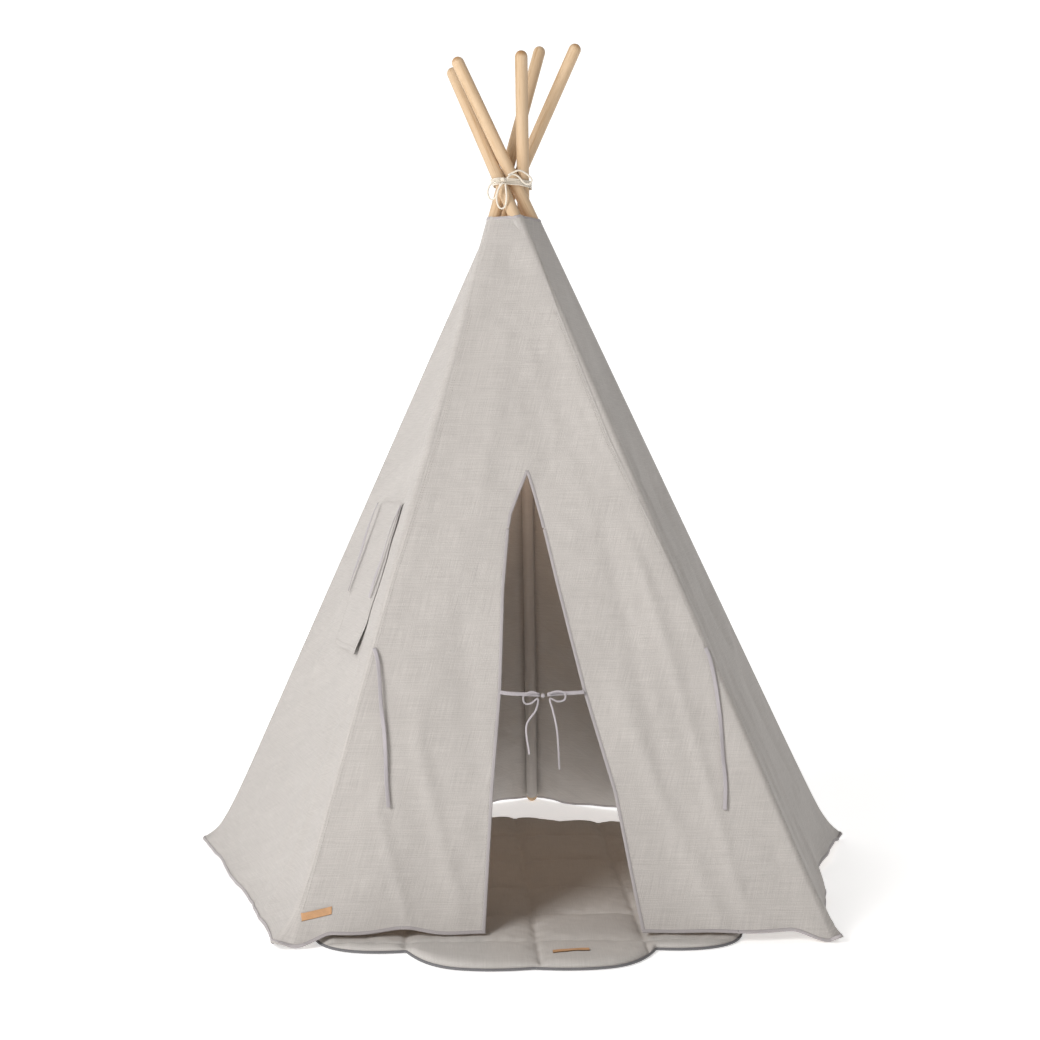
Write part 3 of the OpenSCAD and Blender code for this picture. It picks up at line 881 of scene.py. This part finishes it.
def hem_shift(panel, z, g):
    """How far the hem rises or drops at a place round a panel."""
    width = flat_width(panel, z)
    q = np.clip(g - flat_start(panel, z), 0, width)
    edge = np.minimum(q, width - q)
    wave = 0.0012 * np.sin(23 * q + panel) + 0.0007 * np.sin(47 * q + 2 * panel)
    rest = HEM_REST[panel] + wave
    if panel == FRONT:
        rest = rest + 0.009 * np.exp(-((q - 0.18) / 0.05) ** 2)
    rest = between(CORNER_REST, np.maximum(rest, 0.0036), ease((edge - 0.004) / 0.055))
    return rest - hem_flare(panel, q, rest) * FRAMES[panel][3][2] - HEM_Z


def grid(panel, rows, start, end, cols, squeeze=0.6):
    u = np.linspace(0, 1, cols)
    u = u - squeeze * np.sin(2 * math.pi * u) / (2 * math.pi)
    z = np.broadcast_to(rows[:, None], (len(rows), cols)).astype(float)
    g = between(start(z), end(z), u)
    z = z + hem_shift(panel, z, g) * np.exp(-(z - HEM_Z) / 0.075)
    return z, between(start(z), end(z), u)


def across_and_up(cols, rows):
    """Shares from 0 to 1 along the columns and the rows of a grid."""
    return np.linspace(0, 1, cols)[None], np.linspace(0, 1, rows)[:, None]


def declare(z, g):
    """Takes the sheet's skin points from its grid and does nothing more with them."""
    points, _ = skin(z, g)


def build_halves():
    for name, half in HALVES.items():
        rows = heights(*STOPS.get(half.panel, (HEM_Z, COLLAR_Z)))
        z, g = grid(half.panel, rows, half.start, half.end, 64)
        edge = g - half.start(z) if half.pole_first else half.end(z) - g
        lift = LAP_LIFT * (1 - ease(edge / 0.012)) if half.over else 0 * edge
        obj = cloth(name, z, g, lift)
        finish_piece(obj, None, LINEN, PANEL_NODES[half.panel])
        declare(z, g)
        bend_with(obj, half.pull(z, g))
        tape_on_hem("hem_" + name, half)


def tape_on_hem(name, half):
    z, g = grid(half.panel, np.array([HEM_Z]), half.start, half.end, 140, 0.3)
    points, normals = skin(z[0] + HEM_RISE, g[0] + shift_of_g(half, z[0], g[0]))
    obj = edge_tape(name, points, normals, None, "hem_binding")
    bend_with(obj, np.repeat(half.pull(z[0], g[0]), TAPE_SIDES))


def shift_of_g(half, z, g):
    """Keeps a place at the same share of a half panel a little higher up."""
    share = (g - half.start(z)) / (half.end(z) - half.start(z))
    up = z + HEM_RISE
    return between(half.start(up), half.end(up), share) - g


def build_window_panel():
    """The still strip of the left panel, below and above the window."""
    stops = STOPS[SIDE_LEFT]
    for where, ends in (("below", stops[:2]), ("above", stops[2:])):
        z, g = grid(SIDE_LEFT, heights(*ends), WINDOW_NEAR, WINDOW_FAR, 22, 0)
        obj = cloth(f"side_left_{where}_window", z, g)
        finish_piece(obj, "cover", LINEN, "side_panel_left")
        declare(z, g)
    z, g = grid(SIDE_LEFT, np.array([HEM_Z]), WINDOW_NEAR, WINDOW_FAR, 40, 0)
    edge_tape("hem_side_left_below_window", *skin(z[0] + HEM_RISE, g[0]), "cover", "hem_binding")


def build_window_flap():
    flap = WINDOW_FLAP
    u, v = across_and_up(44, 60)
    t = between(flap["bottom"], flap["top"], v) + 0 * u
    z = side_z(t)
    left = between(flap["left"][1], flap["left"][0], v)
    right = between(flap["right"][1], flap["right"][0], v)
    g = side_g(between(left, right, u), z)
    low = ease((0.25 - v) / 0.25)
    lift = 0.0030 + 0.0045 * low * (0.5 + 0.5 * np.sin(math.pi * u * 1.6) ** 2)
    lift = lift + 0.0008 * np.sin(9 * u + 5 * v)
    lift = lift - 0.0010 * ease((u - 0.80) / 0.20) * (1 - low) + 0.0018 * ease((0.12 - u) / 0.12)
    lift = lift * ease((1 - v) / 0.06 + 0.45)
    obj = cloth("window_flap_cloth", z, g, lift)
    finish_piece(obj, "window_cover", LINEN, "window_flap")
    declare(z, g)
    points, normals = skin(z, g)
    points = points + normals * (lift + 0.0002)[..., None]
    inset = 2        # rows between the stitches and the flap's edge
    edge, n = (np.concatenate([k[::-1, inset], k[inset, inset:-inset], k[:, -inset - 1]])
               for k in (points, normals))
    thread_row("window_flap_stitches", edge, n, "window_cover")


def build_pockets():
    """The pocket inside the cover that holds each pole, and the stitches beside it."""
    rng = np.random.default_rng(5)
    for i, pole in enumerate(POLES):
        rows, cols = 150, 36
        z = np.linspace(0.016, COLLAR_Z - 0.006, rows)[:, None]
        angle = np.linspace(0, 2 * math.pi, cols, endpoint=False)[None]
        outward = unit(ARRIVE[i] + LEAVE[i])
        side = np.cross(UP[i], outward)
        inner = (0.5 - 0.5 * np.cos(angle)) ** 0.8
        wave = sum(rng.uniform(0.5, 1) * np.sin(rng.uniform(20, 160) * z + rng.integers(1, 5) * angle
                                                + rng.uniform(0, 6)) for _ in range(9)) / 3
        radius = POCKET_R + inner * (0.0004 + 0.00014 * wave)
        way = np.cos(angle)[..., None] * outward + np.sin(angle)[..., None] * side
        outer = axis_at(i, z) + radius[..., None] * way
        verts = np.concatenate([outer.reshape(-1, 3), (outer - POCKET_WALL * way).reshape(-1, 3)])
        inside = rows * cols       # the inner face's first point
        tube, ring = tube_faces(rows, cols), np.arange(cols)
        after = (ring + 1) % cols
        rim = np.stack([after, ring, ring + inside, after + inside], axis=1)
        faces = np.concatenate([tube[:, [0, 3, 2, 1]], tube[:, [3, 0, 1, 2]] + inside, rim,
                                rim[:, ::-1] + (rows - 1) * cols])
        obj = add_mesh("pocket_" + pole, verts, faces)
        spots = np.stack(np.broadcast_arrays(angle * 0.013, z, 0.0), axis=-1)
        mark(obj, np.tile(spots.reshape(-1, 3), (2, 1)))
        # The pocket gets the darker linen, painted shade for the inside of the cover
        finish_piece(obj, "pole_" + pole, LINEN_PAINTED_SHADE, "sleeve_" + pole)
        both = {FRONT_LEFT: (0.0005, 0.0045), FRONT_RIGHT: (-0.0005, -0.0045)}.get(i, (-0.001,))
        for k, off in enumerate(both):
            line = np.linspace(0.05, 1.10, 400)
            points, normals = skin(line, seam(i, line) + off)
            thread_row(f"seam_stitches_{pole}_{k}", points + normals * 0.0014, normals, "pole_" + pole)


def build_doors():
    for side, way in (("left", 1), ("right", -1)):
        hinge, free = front_line(fold_x, -way), front_line(slit_x, -way)
        ends = (hinge, free) if way > 0 else (free, hinge)
        z, g = grid(FRONT, heights(HEM_Z, FLAP_TOP_Z - 0.006), *ends, 34, 0.3)
        obj = cloth(f"door_flap_{side}_cloth", z, g)
        body, tape_node = "door_" + side, "door_binding_" + side
        finish_piece(obj, body, LINEN, "door_flap_" + side)
        declare(z, g)
        line = np.linspace(HEM_Z - 0.002, FLAP_TOP_Z - 0.006, 260)
        edge_tape("slit_tape_" + side, *skin(line, free(line) - way * 0.0024), body, tape_node)
        z, g = grid(FRONT, np.array([HEM_Z]), *ends, 70, 0)
        edge_tape("hem_door_" + side, *skin(z[0] + HEM_RISE, g[0]), body, tape_node)
        points, normals = skin(line[4:], free(line[4:]) - way * 0.0066)
        thread_row("slit_stitches_" + side, points + normals * 0.0002, normals, body)


def build_collar_and_slit():
    z = np.linspace(FLAP_TOP_Z - 0.004, SLIT_TOP_Z, 60)
    above = SLIT_TOP_Z + 0.004
    up, _ = skin(z, front_g(slit_x(z, -1), z) - 0.0020)
    down, _ = skin(z[::-1], front_g(slit_x(z[::-1], 1), z[::-1]) + 0.0020)
    peak, peak_n = skin(np.array([above]), front_g(np.array([slit_x(SLIT_TOP_Z, -1)]), above))
    path = resample(np.concatenate([up[:-2], peak, down[2:]]), 0.002)
    face = np.broadcast_to(peak_n[0], path.shape)
    edge_tape("slit_head_tape", path, face, "cover", "slit_binding", HEAD_TAPE_T)
    z = np.full(360, COLLAR_Z - 0.0022)
    g = np.linspace(0, 1, 360, endpoint=False) * round_trip(z)
    edge_tape("collar_tape", *skin(z, g), "cover", "collar_binding", HEAD_TAPE_T, closed=True)


# ---- crown, labels, mat
def build_lashing():
    turns, height = 4, 0.0130
    radius = POLE_R + 0.0022 + ROPE_D / 2
    angle = np.linspace(0, turns * 2 * math.pi, turns * 240)
    z = CROWN_Z - height / 2 + height * angle / angle[-1] + 0.0006 * np.sin(3 * angle)
    way = np.stack([np.cos(angle), np.sin(angle), 0 * angle], axis=1)
    centres = np.stack([axis_at(i, z) for i in range(5)])
    reach = np.einsum("ijk,jk->ij", centres, way)
    best = reach.argmax(axis=0)
    path = centres[best, np.arange(len(angle))] + radius * way
    path[:, 2] = z
    path = resample(path, 0.0022)
    for _ in range(3):
        path[1:-1] = (path[:-2] + 2 * path[1:-1] + path[2:]) / 4
    face = unit((path - CROWN.mean(axis=0)) * [1, 1, 0])
    obj = sweep("crown_lashing_rope", path, face, ROPE_D, ROPE_D, 14, 1, 0, 3)
    finish_piece(obj, "cover", COTTON, "crown_lashing")


def build_cover_label():
    u, v = across_and_up(26, 10)
    x = between(-0.400, -0.350, u) + 0 * v
    z = 0.036 + 0.011 * u + 0.0125 * v
    g = front_g(x, z)
    edge = np.minimum(np.minimum(u, 1 - u) * 0.05, np.minimum(v, 1 - v) * 0.0125)
    obj = cloth("cover_label_leather", z, g, 0.0014 + 0.0005 * ease(edge / 0.002), 0.0012)
    finish_piece(obj, None, LEATHER, "cover_label")
    half = HALVES["front_by_front_left"]
    bend_with(obj, half.pull(z, g))


def mat_dip(angle):
    past = (angle + math.pi / 2 + math.pi) % (2 * math.pi) - math.pi
    depth = np.where(np.abs(past) < math.pi / MAT_LOBES, FRONT_NOTCH, MAT_NOTCH)
    return depth * (1 - np.abs(np.sin(MAT_LOBES * past / 2)))


def mat_point(share, angle, inset=0.0):
    """A place on the mat at a share of the way from its middle to its scalloped edge."""
    dip = mat_dip(angle) * share ** 7
    rx, ry = MAT_RX * share - dip - inset * share, MAT_RY * share - dip - inset * share
    return MAT_MID + np.stack([rx * np.cos(angle), ry * np.sin(angle)], axis=-1)


PUCKER = waves(91, 26, 0.060, 0.018, 0.5)
SWELL = waves(92, 10, 0.40, 0.12, 0.5)


def mat_top(xy, rim=1.0):
    """The quilt's height at a place, with rim its distance from the edge."""
    dx, dy = (np.min(np.abs(xy[..., k, None] - np.array(lines)), axis=-1)
              for k, lines in enumerate((QUILT_X, QUILT_Y)))
    pillow = (1 - np.exp(-dx / 0.016)) * (1 - np.exp(-dy / 0.016))
    near = np.exp(-np.minimum(dx, dy) / 0.022)
    height = 0.0075 + 0.0085 * pillow
    height += 0.0011 * ripple(xy[..., 0], xy[..., 1], PUCKER) * (0.35 + near)
    height += 0.0011 * ripple(xy[..., 0], xy[..., 1], SWELL)
    height -= 0.0016 * np.exp(-(np.minimum(dx, dy) / 0.003) ** 2)
    rounded = np.sqrt(np.clip(1 - (1 - np.clip(rim / 0.022, 0, 1)) ** 2, 0, 1))
    return 0.0045 + (height - 0.0045) * rounded


def build_mat():
    count = 231
    a = np.linspace(-1, 1, count)
    x, y = np.meshgrid(a, a, indexing="xy")
    u, v = x * np.sqrt(1 - y**2 / 2), y * np.sqrt(1 - x**2 / 2)
    share, angle = np.clip(np.hypot(u, v), 0, 1), np.arctan2(v, u)
    xy = mat_point(share, angle, 0.0028)
    rim = (1 - share) * 0.55
    top = mat_top(xy, rim)
    upper = np.concatenate([xy, top[..., None]], axis=-1).reshape(-1, 3)
    lower = upper.copy()
    lower[:, 2] = 0.0025 - 0.0015 * np.clip(rim.ravel() / 0.02, 0, 1)
    obj = add_mesh("mat_quilt", np.concatenate([upper, lower]), shell_faces(count, count))
    mark(obj, np.concatenate([upper, lower]))
    finish_piece(obj, "mat_base", QUILTED, "mat")
    k = np.linspace(0, 2 * math.pi, MAT_LOBES * 54, endpoint=False)
    edge = mat_point(1.0, k, PIPING_W / 2)
    path = np.concatenate([edge, np.full((len(k), 1), 0.0036)], axis=1)
    piping = sweep("mat_piping_cord", path, (0, 0, 1), PIPING_W, PIPING_H, 12, 1, closed=True)
    finish_piece(piping, "mat_base", PIPING, "mat_piping")
    quilt_stitches()
    u, v = across_and_up(24, 8)
    xy = np.stack([0.018 + 0.060 * u + 0 * v, -0.642 + 0.014 * v + 0.002 * u], axis=-1)
    points = np.concatenate([xy, (mat_top(xy) + 0.0016)[..., None]], axis=-1)
    up = np.broadcast_to([0.0, 0.0, 1.0], points.shape)
    label = sheet_mesh("mat_label_leather", points, up, xy[..., 1], xy[..., 0], 0.0014)
    finish_piece(label, "mat_base", LEATHER, "mat_label")


def inside_mat(xy):
    offset = xy - MAT_MID
    angle = np.arctan2(offset[:, 1] / MAT_RY, offset[:, 0] / MAT_RX)
    edge = mat_point(1.0, angle, 0.016) - MAT_MID
    return np.hypot(offset[:, 0], offset[:, 1]) < np.hypot(edge[:, 0], edge[:, 1])


def quilt_stitches():
    parts = []
    run = np.linspace(-0.8, 0.6, 1400)
    for k, (at, turn) in enumerate([(q, 1) for q in QUILT_X] + [(q, -1) for q in QUILT_Y]):
        xy = np.stack([np.full_like(run, at), run][::turn], axis=1)
        xy = xy[inside_mat(xy)]
        path = np.concatenate([xy, (mat_top(xy) + 0.0001)[:, None]], axis=1)
        parts.append(stitches(f"quilt_{k}", path, (0, 0, 1), 0.0062, 0.0042, 0.0010))
    finish_piece(join(parts, "mat_quilting"), "mat_base", THREAD)


def build_poles():
    for i, pole in enumerate(POLES):
        node = frame["nodes"]["pole_" + pole]
        tone = shade(PINE_TONE, (1.0, 0.97, 1.02, 0.95, 1.0)[i])
        node.data.materials.clear()
        node.data.materials.append(pine("pine_" + pole, UP[i], tone, i))


# ---- room
def glow(name, strength, base):
    """A plain white that shines by itself, over a grey of its own."""
    mat, _, shader = nodes_of(name, 1.0)
    connect(shader, {"Specular IOR Level": 0.0, "Base Color": (base, base, base, 1),
                     "Emission Color": (1, 1, 1, 1), "Emission Strength": strength})
    return mat


def stage_plane(name, size, location, tilt, material):
    bpy.ops.mesh.primitive_plane_add(size=size, location=location, rotation=(tilt, 0, 0))
    plane = bpy.context.object
    plane.name = name
    plane.data.materials.append(material)


def lamp(name, kind, spot, size, watts, colour):
    data = bpy.data.lights.new(name, kind)
    data.energy, data.color = watts, colour
    setattr(data, "size" if kind == "AREA" else "shadow_soft_size", size)
    light = bpy.data.objects.new(name, data)
    bpy.context.scene.collection.objects.link(light)
    light.location = spot
    light.rotation_euler = (Vector((0, 0, 0.6)) - Vector(spot)).to_track_quat("-Z", "Y").to_euler()
    return light


def build_room():
    """A white floor and backdrop, a key from the left, and a warm lamp for light through the linen."""
    stage_plane("floor", 90, (0, 0, 0), 0, glow("floor", FLOOR_GLOW, 1.0))
    stage_plane("backdrop", 20, (0, 5, 8), math.radians(90), glow("backdrop", 1.0, 0.2))
    world = bpy.data.worlds.new("studio")
    world.use_nodes = True
    bpy.context.scene.world = world
    connect(world.node_tree.nodes["Background"],
            {"Color": (1.0, 0.93, 0.87, 1), "Strength": WORLD_STRENGTH})
    lamp("key", "AREA", (-3.2, -3.6, 2.9), 2.2, KEY_WATTS, (1.0, 0.98, 0.97))
    inside = lamp("through_linen", "POINT", (-0.03, -0.05, 0.90), 0.03, INSIDE_WATTS, (1.0, 0.74, 0.56))
    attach(inside, "cover")
    bpy.context.scene.view_settings.view_transform = "Standard"


build_cords()
build_halves()
build_window_panel()
build_window_flap()
build_pockets()
build_doors()
build_collar_and_slit()
build_lashing()
build_cover_label()
build_mat()
build_poles()
build_room()
